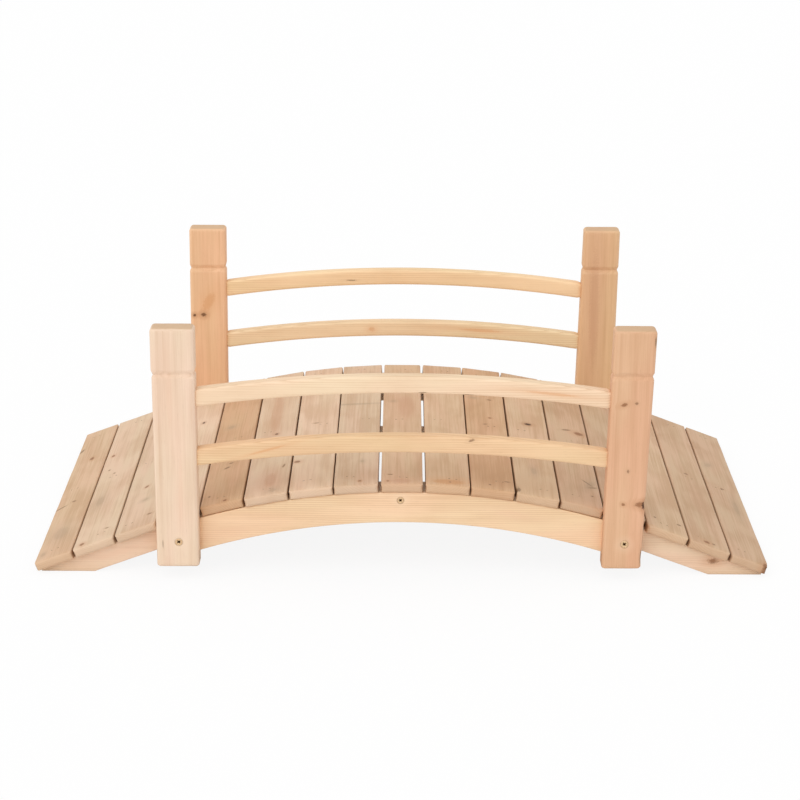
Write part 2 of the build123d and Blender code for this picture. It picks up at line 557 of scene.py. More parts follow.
def grain_group():
    """Softwood grain along Y from a place in millimetres: rings, streaks, fibres, blotches, tints and flecks."""
    if "softwood_grain" in bpy.data.node_groups:
        return bpy.data.node_groups["softwood_grain"]
    tree, n, given, out = group_tree(
        "softwood_grain",
        [("Place", "NodeSocketVector", None), ("Pith", "NodeSocketVector", None), ("Seed", "NodeSocketFloat", 0.0),
         ("Ring pitch", "NodeSocketFloat", 3.0), ("Swing", "NodeSocketFloat", 10.0)],
        [(label, "NodeSocketFloat") for label in ("Rings", "Streaks", "Fibres", "Blotches", "Tints", "Flecks")])
    seed = n.join(given["Seed"], *[n.math("MULTIPLY", given["Seed"], factor) for factor in (1.7, -2.3)])

    def stretched(across, along, shift=3.1):
        scaled = n.vector("MULTIPLY", given["Place"], (across, along, across))
        return n.vector("ADD", scaled, n.vector("SCALE", seed, scale=shift))

    sway = n.math("SUBTRACT", n.noise(stretched(0.006, 0.0035), detail=1.0), 0.5)
    bend = n.math("MULTIPLY", sway, given["Swing"])
    wave = n.math("MULTIPLY", n.math("SUBTRACT", n.noise(stretched(0.05, 0.008), detail=2.0), 0.5),
                  n.math("MULTIPLY", given["Swing"], 0.25))
    from_pith = n.vector("SUBTRACT", given["Place"], given["Pith"])
    x, _, z = n.split(from_pith)
    reach = n.vector("LENGTH", n.join(n.math("ADD", x, bend), 0.0, z))
    turns = n.math("DIVIDE", n.math("ADD", reach, wave), given["Ring pitch"])
    phase = n.math("FRACT", turns)
    late = n.math("MULTIPLY", n.ease(phase, 0.35, 0.9), n.ease(phase, 0.9, 1.0, 1.0, 0.0))
    uneven = n.ease(n.noise(stretched(0.05, 0.006, 5.3), detail=2.0), 0.35, 0.65, 0.15, 1.0)
    n.put(out["Rings"], n.math("MULTIPLY", late, uneven))
    n.put(out["Streaks"], n.noise(stretched(0.14, 0.0035), detail=3.0, roughness=0.6))
    n.put(out["Fibres"], n.noise(stretched(0.75, 0.012), detail=3.0, roughness=0.65))
    n.put(out["Blotches"], n.noise(stretched(0.022, 0.009), detail=2.0, distortion=0.4))
    n.put(out["Tints"], n.noise(stretched(0.030, 0.006, 7.7), detail=1.0))
    n.put(out["Flecks"], n.ease(n.noise(stretched(0.9, 0.08), detail=1.0), 0.66, 0.78))
    return tree


def knot_group():
    """One knot or mark: how far a place lies inside it, inside its halo, and how it parts the grain."""
    if "knot" in bpy.data.node_groups:
        return bpy.data.node_groups["knot"]
    tree, n, given, out = group_tree(
        "knot",
        [(label, "NodeSocketVector", None) for label in ("Place", "Centre", "Size")] + [
         ("Turn", "NodeSocketFloat", 0.0), ("Ragged", "NodeSocketFloat", 0.9)],
        [("Core", "NodeSocketFloat"), ("Halo", "NodeSocketFloat"), ("Parting", "NodeSocketVector")])
    offset = n.vector("SUBTRACT", given["Place"], given["Centre"])
    turned = n.new("ShaderNodeVectorRotate", {"Vector": offset, "Angle": given["Turn"]}, rotation_type="Z_AXIS")
    ratio = n.vector("DIVIDE", turned.outputs[0], given["Size"])
    rough = n.math("SUBTRACT", n.noise(given["Place"], scale=0.55, detail=2.0), 0.5)
    reach = n.math("MULTIPLY_ADD", rough, given["Ragged"], n.vector("LENGTH", ratio))
    n.put(out["Core"], n.ease(reach, 0.55, 1.1, 1.0, 0.0))
    n.put(out["Halo"], n.ease(reach, 0.7, 2.8, 1.0, 0.0))
    fade = n.math("POWER", n.ease(n.vector("LENGTH", ratio), 0.0, 4.0, 1.0, 0.0), 2.0)
    aside = n.join(n.split(offset)[0], 0.0, 0.0)
    n.put(out["Parting"], n.vector("SCALE", aside, scale=n.math("MULTIPLY", fade, -0.7)))
    return tree


def empty_tree(owner):
    """Builder of the nodes of a material or world, which has none yet."""
    owner.use_nodes = True
    owner.node_tree.nodes.clear()
    return Nodes(owner.node_tree)


def new_material(name):
    """Material and the builder of its nodes."""
    material = bpy.data.materials.new(name)
    return material, empty_tree(material)


# How far a mark goes into the wood, in millimetres
MARK_DEPTH = 40.0

# Marks in the wood: colour and strength of the core, colour and strength of the halo, and how ragged they are
MARKS = {
    "knot": (srgb(136, 88, 54), 0.75, srgb(196, 140, 98), 0.32, 0.9),
    "dark_knot": (srgb(70, 46, 30), 0.92, srgb(176, 122, 84), 0.42, 0.9),
    "pin_knot": (srgb(124, 86, 58), 0.65, srgb(196, 156, 120), 0.20, 0.9),
    "scar": (srgb(112, 84, 58), 0.65, srgb(190, 154, 118), 0.18, 0.9),
    "smudge": (srgb(164, 140, 114), 0.30, srgb(178, 152, 124), 0.26, 1.3),
    "resin": (srgb(212, 146, 92), 0.40, srgb(222, 162, 112), 0.22, 1.1),
    "heartwood": (srgb(198, 148, 116), 0.40, srgb(206, 160, 128), 0.28, 0.9),
    "streak": (srgb(222, 158, 106), 0.42, srgb(230, 178, 134), 0.26, 0.7),
    "stain": (srgb(204, 148, 98), 0.60, srgb(214, 166, 122), 0.36, 1.1),
    "blush": (srgb(236, 190, 160), 0.16, srgb(236, 196, 166), 0.14, 0.8),
    "crack": (srgb(120, 96, 76), 0.75, srgb(200, 170, 144), 0.10, 0.3),
    # Round a screw: a dark core of painted shade in the gap round the head, and a pale halo of torn fibres
    "screw_rim": (srgb(92, 68, 46), 0.88, srgb(250, 226, 196), 0.14, 0.10),
}

# Heights against the walking face, in millimetres, between which the sides of the boards darken with painted
# shade, for the shade in the gaps between boards
GAP_SHADE_BAND = (-5.0, -1.5)

# Object axes across the grain, along it, and across it the other way
GRAIN_ORDER = {"X": (2, 0, 1), "Y": (0, 1, 2), "Z": (0, 2, 1)}


def tinted(colour, factors):
    """Colour with each channel times its factor, as a colour with alpha."""
    return (*[min(c * f, 1.0) for c, f in zip(colour, factors)], 1.0)


# Wood of each kind of piece: the axis that the grain follows, the middle of the log in millimetres from the piece,
# how strong rings, streaks, fibres and blotches are, how far the rings swing, and how much painted shade darkens
# the sides low down
FINISHES = {
    "deck_board": {"grain": "Y", "finish": (0.4, 2.2, 1.6, 3.2), "swing": 10.0, "gap_shade": 0.6},
    "stringer": {"grain": "X", "pith": (140.0, 0.0, 30.0), "finish": (0.6, 1.4, 0.8, 1.8), "swing": 6.0},
    "face_board": {"grain": "X", "pith": (190.0, 0.0, 24.0), "finish": (1.0, 1.2, 1.0, 1.2), "swing": 4.0},
    "post": {"grain": "Z", "finish": (0.35, 1.3, 1.2, 1.0), "swing": 4.0},
    "rail": {"grain": "X", "pith": (-70.0, 0.0, 30.0), "finish": (0.85, 1.0, 0.8, 1.0), "swing": 3.0},
}


def wood(name, tone, seed, marks, grain, pith, finish, swing, end_tone=None, gap_shade=0.0):
    """Bare softwood. Marks are (across, along, half width, half length, turn in degrees, kind), in millimetres."""
    settings, = chosen("wood")
    end_tone = end_tone or tinted(tone, (0.97, 0.95, 0.93))
    light, dark, pink, straw = [tinted(tone, factors) for factors in (
        (1.07, 1.08, 1.09), (0.84, 0.76, 0.68), (1.03, 0.96, 0.94), (0.97, 1.01, 0.94))]
    material, n = new_material(name)
    coordinates = n.new("ShaderNodeTexCoord").outputs
    order = GRAIN_ORDER[grain]
    millimetres = n.split(n.vector("SCALE", coordinates["Object"], scale=1 / MM))
    place = n.join(*[millimetres[i] for i in order])

    spots, parted = [], place
    for across, along, half_width, half_length, turn, kind in marks:
        spot = n.new("ShaderNodeGroup", {
            "Place": place, "Centre": (across, along, 0.0), "Size": (half_width, half_length, MARK_DEPTH),
            "Turn": math.radians(turn), "Ragged": MARKS[kind][4]}, node_tree=knot_group())
        spots.append((spot.outputs, kind))
        if "knot" in kind:
            parted = n.vector("ADD", parted, spot.outputs["Parting"])

    grains = n.new("ShaderNodeGroup", {
        "Place": parted, "Pith": pith, "Seed": float(seed), "Ring pitch": settings.ring_pitch, "Swing": swing},
        node_tree=grain_group()).outputs
    share = 0.42
    means = {"Rings": 0.2, "Streaks": 0.5, "Fibres": 0.5, "Blotches": 0.5}
    for (label, middle), weight in zip(means.items(), finish):
        centred = n.math("SUBTRACT", grains[label], middle)
        share = n.math("MULTIPLY_ADD", centred, weight * settings.contrast, share)
    colour = n.mix(n.ease(grains["Tints"], 0.35, 0.65), pink, straw)
    share = n.math("MULTIPLY", share, 1.0, clamp=True)
    colour = n.mix(share, n.mix(0.5, colour, light), n.mix(0.25, dark, colour))
    colour = n.mix(n.math("MULTIPLY", grains["Flecks"], 0.16), colour, tinted(tone, (0.55, 0.46, 0.38)))

    sides = [n.math("ABSOLUTE", side) for side in n.split(coordinates["Normal"])]
    # Rounded edges are painted lighter: partly wear, partly painted highlight where the rounded edges catch the
    # light
    squarely = n.math("MAXIMUM", n.math("MAXIMUM", sides[0], sides[1]), sides[2])
    broken = n.ease(grains["Streaks"], 0.35, 0.65, 0.15, 0.5)
    arris = n.math("MULTIPLY", n.ease(squarely, 0.76, 0.93, 1.0, 0.0), broken)
    colour = n.mix(arris, colour, tinted(tone, (1.10, 1.12, 1.14)))
    end_grain = n.ease(sides["XYZ".index(grain)], 0.6, 0.95)
    end_colour = n.mix(n.math("MULTIPLY", grains["Rings"], 0.5), end_tone, tinted(end_tone, (0.86, 0.78, 0.68)))
    colour = n.mix(n.math("MULTIPLY", end_grain, 0.8), colour, end_colour)

    # Painted shade: low on their sides the boards darken towards brown, for the shade in the gaps between them
    if gap_shade:
        below = n.ease(millimetres[2], *GAP_SHADE_BAND, 1.0, 0.0)
        inside = n.math("MULTIPLY", n.ease(sides[0], 0.6, 0.95), below)
        colour = n.mix(n.math("MULTIPLY", inside, gap_shade), colour, srgb(134, 90, 54))

    height = n.math("MULTIPLY_ADD", grains["Rings"], 0.45, n.math("MULTIPLY", grains["Fibres"], 0.8))
    for outputs, kind in spots:
        core, core_share, halo, halo_share, _ = MARKS[kind]
        colour = n.mix(n.math("MULTIPLY", outputs["Halo"], halo_share), colour, halo)
        colour = n.mix(n.math("MULTIPLY", outputs["Core"], core_share), colour, core)
        if kind in ("crack", "scar"):
            height = n.math("SUBTRACT", height, n.math("MULTIPLY", outputs["Core"], 3.0))

    bump = n.new("ShaderNodeBump", {"Strength": 0.5, "Distance": settings.relief, "Height": height})
    n.surface(n.new("ShaderNodeBsdfPrincipled", {
        "Base Color": colour, "Roughness": n.ease(grains["Fibres"], 0.2, 0.8, 0.56, 0.74),
        "Specular IOR Level": 0.22, "Normal": bump.outputs[0]}))
    return material


def metal(name, colour, roughness, stain):
    """Plated steel with a little tarnish."""
    material, n = new_material(name)
    place = n.vector("SCALE", n.new("ShaderNodeTexCoord").outputs["Object"], scale=1 / MM)
    tarnish = n.noise(place, scale=0.9, detail=3.0)
    bump = n.new("ShaderNodeBump", {"Strength": 0.3, "Distance": 0.04 * MM, "Height": tarnish})
    n.surface(n.new("ShaderNodeBsdfPrincipled", {
        "Base Color": n.mix(n.ease(tarnish, 0.4, 0.7), colour, stain), "Metallic": 1.0,
        "Roughness": n.ease(tarnish, 0.3, 0.7, roughness, roughness + 0.2), "Normal": bump.outputs[0]}))
    return material


def fit_wood(node, kind, mesh, place, tone, marks, number, wear, dents=(), **finish):
    """Wears a wooden piece of a kind back, gives it its grain and puts it at its node."""
    first, first_grain, step = SEEDS[kind]
    finish = {**FINISHES[kind], **finish}
    weather(mesh, wear, first + number, "XYZ".index(finish["grain"]), dents)
    material = wood(mesh.name, tone, first_grain + step * number, marks, **finish)
    add_piece(mesh.name, mesh, material, node, place)


def fit_plate(node, kind, mesh, middle, *finish):
    """Moves the origin of an upright plate to its middle and fits it as above."""
    mesh.transform(Matrix.Translation(-middle))
    fit_wood(node, kind, mesh, Matrix.Translation(middle), *finish)


# Deck boards

# Tones of the deck boards against the deck colour
TONES = {
    "plain": (1.0, 1.0, 1.0),
    "pale": (1.13, 1.20, 1.31),
    "warm": (0.94, 0.86, 0.79),
    "ashen": (1.05, 1.11, 1.20),
    "dull": (0.91, 0.90, 0.90),
}

# Tone of each board from the left end to the right end, and how it differs: its marks
BOARDS = [
    ("plain", [(-22, 184, 3, 9, 20, "scar"), (2, 128, 4, 7, 0, "knot"), (0, -55, 4, 3, 30, "pin_knot"),
             (-19, -68, 2, 13, 55, "scar"), (-1, -181, 13, 26, 0, "smudge"), (-17, -247, 4, 8, 0, "smudge")]),
    ("ashen", [(-18, 102, 3, 5, 0, "knot"), (-16, 37, 2, 3, 0, "pin_knot"), (-5, 14, 2, 3, 0, "pin_knot"),
               (-17, -260, 4, 5, 0, "knot"), (15, -226, 4, 2, 20, "pin_knot"), (-12, -98, 7, 20, 0, "smudge")]),
    ("ashen", [(-1, -105, 3, 5, 20, "knot"), (3, -161, 5, 6, 30, "smudge"), (17, -228, 4, 3, 0, "pin_knot")]),
    ("pale", [(4, 115, 2.5, 4, 0, "dark_knot")]),
    ("warm", [(-9, 55, 6, 8, 0, "smudge"), (-2, -128, 3, 6, 50, "scar"), (3, -111, 4, 3, 0, "pin_knot"),
              (-19, -234, 2, 3, 0, "pin_knot"), (5, -262, 3, 4, 0, "knot")]),
    ("ashen", [(2, -21, 3, 4, 0, "dark_knot"), (-2, 80, 9, 110, 0, "heartwood"), (20, -166, 2, 8, 10, "pin_knot"),
              (4, -216, 9, 30, 0, "heartwood"), (9, -258, 6, 8, 0, "smudge")]),
    ("pale", [(-23, -158, 5, 5, 0, "knot"), (-2, 4, 5, 2, 0, "pin_knot")]),
    ("ashen", [(7, -178, 3, 6, 0, "smudge"), (5, -258, 2.5, 3, 0, "knot"), (-8, 77, 30, 3, 2, "smudge")]),
    ("plain", [(-13, 85, 4, 5, 0, "smudge"), (-16, -236, 4, 2, 0, "pin_knot"), (-19, -262, 2.5, 3, 0, "knot"),
              (6, 60, 14, 60, 0, "heartwood"), (0, -262, 16, 10, 0, "heartwood")]),
    ("plain", [(1, -259, 24, 11, 0, "stain"), (3, -259, 2, 2, 0, "pin_knot")]),
    ("warm", [(-16, 121, 6, 5, 0, "smudge"), (8, 119, 4, 3, 0, "pin_knot"), (6, 33, 3, 3, 0, "knot"),
              (-2, 2, 4, 2, -30, "pin_knot"), (20, -236, 5, 2, 0, "pin_knot"), (-4, -255, 2, 3, 0, "pin_knot")]),
    ("plain", [(1, 31, 6, 5, -25, "dark_knot"), (-1, -173, 5, 16, 0, "smudge"), (-26, -258, 3, 10, 0, "scar")]),
    ("dull", [(-2, 43, 9, 3, -30, "scar"), (17, 38, 8, 8, -20, "knot"),
              (14, -176, 1.8, 14, -35, "scar"), (20, -190, 2, 9, 60, "scar"),
              (17, -182, 6, 20, 20, "smudge"),
             (17, -225, 2, 3, 0, "pin_knot")]),
    ("dull", [(6, -120, 8, 20, 0, "smudge")]),
    ("plain", [(-16, -231, 2.5, 3, 0, "pin_knot"), (20, -228, 4, 3, 0, "pin_knot")]),
    ("dull", [(0, 19, 4, 3, -20, "pin_knot"), (-4, -258, 5, 5, 0, "knot"), (6, -257, 3, 3, 0, "pin_knot")]),
    # The last mark of this board, a knot at its near right corner, is painted shadow of the worn corner
    ("dull", [(-12, 104, 5, 12, 20, "smudge"), (-2, 9, 4, 3, 0, "pin_knot"), (10, -60, 5, 30, 0, "smudge"),
              (24, -268, 6, 9, 0, "knot")]),
]


# How many boards to each side of the middle one reach further on the near side
REACHING_BOARDS = 3

# Worn corner and chipped edge near the front, by board from the middle: side, distance from the end and radius
BOARD_DENTS = {8: [(1, 0.0, (0.011, 0.013, 0.020))], 3: [(-1, 0.014, (0.005, 0.012, 0.030))]}
BOARD_DENT_DEPTH = 0.0022


class FOOTBRIDGE_OT_deck_boards(bpy.types.Operator):
    """Lay the deck boards across the stringers"""

    bl_idname = "footbridge.deck_boards"
    bl_label = "Deck Boards"

    def execute(self, context):
        deck, look = chosen("deck", "wood")
        rng = random.Random(SEEDS["deck"])
        half = len(BOARDS) // 2
        for number, (tone, marks) in enumerate(BOARDS):
            index = number - half
            node = f"deck_board_{number + 1:02d}"
            width, run = deck.board_width, index * deck.board_pitch
            if index == 0:
                width -= deck.middle_board_trim
            if abs(index) == 1:
                width += deck.inner_board_gain
                run += math.copysign(deck.inner_board_gain / 2, run)
            if abs(index) == half:
                width = deck.end_board_width
                run -= math.copysign((deck.board_width - width) / 2, run)
            low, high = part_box(node)
            reach = deck.board_reach if abs(index) <= REACHING_BOARDS else 0.0
            length = high.y - low.y
            mesh = bar(
                f"wood_{node}", width, deck.board_thickness, length + reach, deck.edge_round, deck.end_round,
                BOARD_STEP)
            mesh.transform(Matrix.Translation((0, -reach / 2, -deck.board_thickness / 2)))
            dents = [((side * width / 2, from_end - length / 2, 0), radius, BOARD_DENT_DEPTH)
                     for side, from_end, radius in BOARD_DENTS.get(index, ())]
            lift = rng.uniform(0.98, 1.02)
            shade = tinted(look.deck_tone, [lift * factor for factor in TONES[tone]])
            pith = (rng.uniform(-40, 40), 0.0, rng.choice((-1, 1)) * rng.uniform(25, 70))
            x, z = deck_point(deck, run)
            tilt = max(-deck.ramp_angle, min(deck.ramp_angle, run / deck.radius))
            place = Matrix.Translation((x, 0, z)) @ Matrix.Rotation(tilt, 4, "Y")
            fit_wood(node, "deck_board", mesh, place, shade, marks, number, look.wear, dents, pith=pith)
        return {"FINISHED"}


# Stringers and face boards



# Marks of the near stringer; the next ones leave out the first of them
STRINGER_MARKS = [(20, 423, 5, 9, 0, "knot"), (30, -380, 5, 50, 20, "blush"), (98, 120, 5, 7, 0, "knot")]
# Wear of stringers and face boards against the set wear
CARCASS_WEAR = 0.6


class FOOTBRIDGE_OT_stringers(bpy.types.Operator):
    """Saw the arched stringers that carry the deck"""

    bl_idname = "footbridge.stringers"
    bl_label = "Stringers"

    def execute(self, context):
        deck, carcass, look = chosen("deck", "carcass", "wood")
        depth = deck.board_thickness + carcass.seat
        top, under = deck_edge(deck, depth), deck_edge(deck, depth + carcass.stringer_depth)
        turn_x, turn_z = deck_point(deck, deck.radius * deck.ramp_angle, depth + carcass.stringer_depth)
        foot_x = turn_x + turn_z / math.tan(deck.ramp_angle)
        for number, row in enumerate(("near", "middle", "far")):
            node = f"{row}_stringer"
            low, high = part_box(node)
            stations = plate_stations(high.x, carcass.edge_round, STRINGER_STEP, (-foot_x, foot_x))
            mesh = plate(
                f"wood_{node}", stations, lambda x: max(under(x), 0.0), top, low.y, high.y, carcass.edge_round)
            middle = Vector((0, (low.y + high.y) / 2, 0))
            fit_plate(node, "stringer", mesh, middle, look.stringer_tone, STRINGER_MARKS[number:], number,
                      look.wear * CARCASS_WEAR)
        return {"FINISHED"}


class FOOTBRIDGE_OT_face_boards(bpy.types.Operator):
    """Saw the arched face boards between the posts"""

    bl_idname = "footbridge.face_boards"
    bl_label = "Face Boards"

    def execute(self, context):
        deck, carcass, fasteners, look = chosen("deck", "carcass", "fasteners", "wood")
        depth = deck.board_thickness + carcass.seat
        top = arc(deck.height - depth, deck.radius - depth)
        under = arc(deck.height - deck.board_thickness - carcass.face_board_depth, carcass.face_board_under_radius)
        for row, side in ROWS.items():
            node = f"{row}_face_board"
            low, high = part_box(node)
            stations = plate_stations(high.x, carcass.edge_round * 0.6, PLATE_STEP)
            # Closer stations round the screw, for its dent
            near_screw = fasteners.face_screw_shift + np.arange(-9, 10) * 0.0008
            stations = np.unique(np.append(stations, near_screw))
            mesh = plate(f"wood_{node}", stations, under, top, low.y, high.y, carcass.edge_round, 3, 36)
            screw_z = high.z - fasteners.face_screw_drop
            screw = Vector((fasteners.face_screw_shift, side * (high.y - low.y) / 2, screw_z))
            sink = fasteners.face_screw_diameter * fasteners.screw_seat
            dents = [(screw, (sink, DENT_REACH, sink), FACE_DENT_DEPTH)]
            rim = fasteners.face_screw_diameter * RIM_SHARE / MM
            marks = [(screw.z / MM, screw.x / MM, rim, rim, 0, "screw_rim"),
                     (90, side * -150, 6, 26, side * 8, "blush"), (60, side * 240, 10, 40, side * -14, "blush")]
            middle = Vector((0, (low.y + high.y) / 2, 0))
            fit_plate(node, "face_board", mesh, middle, look.face_board_tone, marks, side,
                      look.wear * CARCASS_WEAR, dents)
        return {"FINISHED"}


# Posts

# Each post, in millimetres from the middle of its place: tint against the post colour, left and right edge at the
# top and at the foot, how much further the head reaches to the left, the screw's place and the marks
POSTS = {
    "near_left": {
        "tint": (1.10, 1.33, 1.60), "top": (-29.5, 27.6), "foot": (-28.8, 28.2), "head": 0.9, "screw": 1.2,
        "marks": [(-20, -134, 0.7, 8, 0, "crack"), (6, -60, 4, 60, 1, "blush"), (-6, 70, 5, 50, 0, "blush")]},
    "near_right": {
        "tint": (0.96, 0.92, 0.905), "top": (-23.8, 32.3), "foot": (-31.1, 21.9), "head": 0.0, "screw": -1.3,
        "marks": [(-8, 66, 6, 3, -20, "knot"), (8, 68, 3, 2.5, 0, "pin_knot"), (0, -27, 2.2, 3, 0, "pin_knot"),
                  (-5, -74, 3, 2.5, 20, "knot"), (17, -74, 8, 4.5, 0, "knot"), (23, -76, 4, 6, 0, "dark_knot"),
                  (21, -150, 1.0, 14, 0, "crack"), (30, 152, 1.4, 9, 0, "scar")]},
    "far_left": {
        "tint": (1.10, 1.11, 1.07), "top": (-27.7, 28.1), "foot": (-29.4, 26.6), "head": 0.0, "screw": 0.6,
        "marks": [(-8, 30, 5, 4, 0, "dark_knot"), (-22, 29, 3, 3, 0, "dark_knot"), (0, 50, 9, 20, 30, "resin")]},
    "far_right": {
        "tint": (0.99, 1.02, 0.945), "top": (-22.4, 32.3), "foot": (-30.5, 28.5), "head": 0.0, "screw": -0.8,
        "marks": [(-8, -94, 3, 3, 0, "pin_knot"), (-4, 40, 9, 110, 0, "heartwood")]},
}


# Broken edges: place from the middle of the post, radius and depth
POST_DENTS = {
    "near_right": [((0.0245, -0.012, -0.074), (0.006, 0.02, 0.008), 0.0018),
                   ((0.0220, -0.015, -0.152), (0.004, 0.01, 0.012), 0.0012)]}


def post_mesh(name, post, depth, height, settings):
    """Rounded post round the origin, with the ring cut in below its top."""
    half = height / 2
    ring = half - settings.ring_drop
    half_ring = settings.ring_height / 2
    top = end_insets(half, settings.edge_round, 7)
    foot = [(-place, inset) for place, inset in end_insets(half, settings.foot_round)]
    groove = [(ring + share * half_ring, settings.ring_depth * (1 - abs(share)))
              for share in (-1.0, -0.93, -0.6, -0.3, -0.08, 0.0, 0.08, 0.3, 0.6, 0.93, 1.0)]
    plain = list(spaced(-half + settings.foot_round, ring - half_ring, POST_STEP)[1:-1])
    plain += list(spaced(ring + half_ring, half - settings.edge_round, POST_STEP)[1:-1])
    rings = []
    for z, inset in sorted(top + foot + groove + [(z, 0.0) for z in plain]):
        rise = (z + half) / height
        left, right = [MM * (low + (high - low) * rise) for low, high in zip(post["foot"], post["top"])]
        if z > ring:
            left -= MM * post["head"]
        section = outline(
            right - left - 2 * inset, depth - 2 * inset, max(settings.edge_round - inset * 0.7, MM), 26, 10, 6)
        rings.append(np.column_stack([section + ((left + right) / 2, 0), np.full(len(section), z)]))
    return swept_mesh(name, rings)


class FOOTBRIDGE_OT_posts(bpy.types.Operator):
    """Stand the four posts, with the ring cut in below their tops"""

    bl_idname = "footbridge.posts"
    bl_label = "Posts"

    def execute(self, context):
        settings, fasteners, look = chosen("posts", "fasteners", "wood")
        sink = fasteners.screw_diameter * fasteners.screw_seat
        for number, (place, post) in enumerate(POSTS.items()):
            node = f"{place}_post"
            side = ROWS[place.split("_")[0]]
            low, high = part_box(node)
            size = high - low
            mesh = post_mesh(f"wood_{node}", post, size.y, size.z, settings)
            screw_place = (post["screw"] * MM, side * size.y / 2, fasteners.screw_rise - size.z / 2)
            dents = [(screw_place, (sink, DENT_REACH, sink), POST_DENT_DEPTH)]
            dents += POST_DENTS.get(place, [])
            rim = fasteners.screw_diameter * RIM_SHARE / MM
            marks = post["marks"] + [(post["screw"], screw_place[2] / MM, rim, rim, 0, "screw_rim")]
            tone, end_tone = tinted(look.post_tone, post["tint"]), tinted(look.post_tone, (0.82, 0.88, 0.84))
            fit_wood(
                node, "post", mesh, Matrix.Translation((low + high) / 2), tone, marks, number, look.wear, dents,
                pith=(8.0 - 5 * number, 0.0, 60.0), end_tone=end_tone)
        return {"FINISHED"}


# Rails

# Tint of each rail against the rail colour, and its marks
RAILS = {
    "near_top": ((1.03, 1.085, 1.21), [(-1, 198, 2.4, 42, -6, "streak"), (0, 27, 0.8, 7, 0, "scar"),
                                       (-3, 87, 0.7, 10, -3, "scar")]),
    "near_low": ((0.965, 0.93, 0.895), [(16, 92, 2, 5, 20, "pin_knot"), (1, -180, 1.8, 30, 16, "streak")]),
    "far_top": ((1.04, 1.06, 1.03), [(5, -80, 1, 9, 0, "scar")]),
    "far_low": ((0.985, 1.05, 1.075), [(9, -48, 4, 6, 0, "resin"), (8, 120, 3, 40, -4, "streak")]),
}


# Rounding of a rail's ends, inside the posts
RAIL_END_ROUND = 0.0008


class FOOTBRIDGE_OT_rails(bpy.types.Operator):
    """Fit the arched rails between the posts"""

    bl_idname = "footbridge.rails"
    bl_label = "Rails"

    def execute(self, context):
        settings, look = chosen("rails", "wood")
        for number, (place, (tint, marks)) in enumerate(RAILS.items()):
            node = f"{place}_rail"
            low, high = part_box(node)
            crown = high.z + settings.crown_lift
            top = arc(crown, settings.radius)
            under = arc(crown - settings.height, settings.radius - settings.height)
            stations = plate_stations(high.x + settings.tenon, RAIL_END_ROUND, PLATE_STEP)
            mesh = plate(f"wood_{node}", stations, under, top, low.y, high.y, settings.edge_round, 5, 5)
            tone = tinted(look.rail_tone, tint)
            fit_plate(node, "rail", mesh, (low + high) / 2, tone, marks, number, look.wear * 0.5)
        return {"FINISHED"}


# Fasteners


class FOOTBRIDGE_OT_screws(bpy.types.Operator):
    """Drive the screws into the posts and face boards"""

    bl_idname = "footbridge.screws"
    bl_label = "Screws"

    def execute(self, context):
        settings, look = chosen("fasteners", "wood")
        zinc = metal("yellow_zinc", (*look.zinc_tone, 1.0), 0.30, srgb(196, 158, 116))
        # Dark brown metal that paints the shade in the cross recess, on the faces down in the cross
        shade = metal("screw_recess_painted_shade", srgb(84, 62, 40), 0.7, srgb(56, 40, 26))
        nodes = [(f"{row}_{hand}_post", side) for row, side in ROWS.items() for hand in HANDS]
        nodes += [(f"{row}_face_board", side) for row, side in ROWS.items()]
        for number, (node, side) in enumerate(nodes):
            low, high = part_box(node)
            post = POSTS.get(node.removesuffix("_post"))
            name = f"screw_{node}"
            if post:
                diameter = settings.screw_diameter
                x, z = (low.x + high.x) / 2 + post["screw"] * MM, low.z + settings.screw_rise
            else:
                diameter = settings.face_screw_diameter
                x, z = settings.face_screw_shift, high.z - settings.face_screw_drop
            mesh = polar_screw(name, diameter, SEEDS["screw"] + number)
            y = (low.y if side < 0 else high.y) - side * settings.screw_sink
            matrix = Matrix.Translation((x, y, z)) @ Matrix.Rotation(-side * math.pi / 2, 4, "X")
            piece = add_piece(name, mesh, zinc, matrix=matrix)
            piece.data.materials.append(shade)
        return {"FINISHED"}


class FOOTBRIDGE_OT_staples(bpy.types.Operator):
    """Drive a staple through each deck board into each stringer"""

    bl_idname = "footbridge.staples"
    bl_label = "Staples"

    def execute(self, context):
        deck, fasteners, look = chosen("deck", "fasteners", "wood")
        steel = metal("dull_steel", (*look.steel_tone, 1.0), 0.6, srgb(70, 50, 38))
        rng = random.Random(SEEDS["staples"])
        half = len(BOARDS) // 2
        for row in ("near", "middle", "far"):
            low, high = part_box(f"{row}_stringer")
            middle = (low.y + high.y) / 2
            meshes = []
            for index in range(-half, half + 1):
                run = index * deck.board_pitch + rng.uniform(-0.012, 0.010)
                tilt = max(-deck.ramp_angle, min(deck.ramp_angle, index * deck.board_pitch / deck.radius))
                x0, z0 = deck_point(deck, index * deck.board_pitch)
                y = middle + rng.uniform(-0.006, 0.006)
                across = run - index * deck.board_pitch
                turn = rng.uniform(-0.25, 0.25)
                for leg in (-0.5, 0.5):
                    tip = bar("staple_end", 0.0009, 0.0007, 0.0026, 0.0003, 0.0003, 0.001, 1, 1)
                    tip.transform(
                        Matrix.Translation((x0, y, z0)) @ Matrix.Rotation(tilt, 4, "Y")
                        @ Matrix.Translation((across, 0, -0.0003)) @ Matrix.Rotation(turn, 4, "Z")
                        @ Matrix.Translation((leg * fasteners.staple_crown, 0, 0))
                        @ Matrix.Rotation(math.pi / 2, 4, "Z"))
                    meshes.append(tip)
            add_piece(f"staples_{row}", joined(f"staples_{row}", meshes), steel)
        return {"FINISHED"}


def joined(name, meshes):
    """One mesh from several, which are removed."""
    points, faces = [], []
    for mesh in meshes:
        start = len(points)
        points += [tuple(v.co) for v in mesh.vertices]
        faces += [tuple(start + i for i in p.vertices) for p in mesh.polygons]
        bpy.data.meshes.remove(mesh)
    return smooth_mesh(name, points, faces)


# Stage


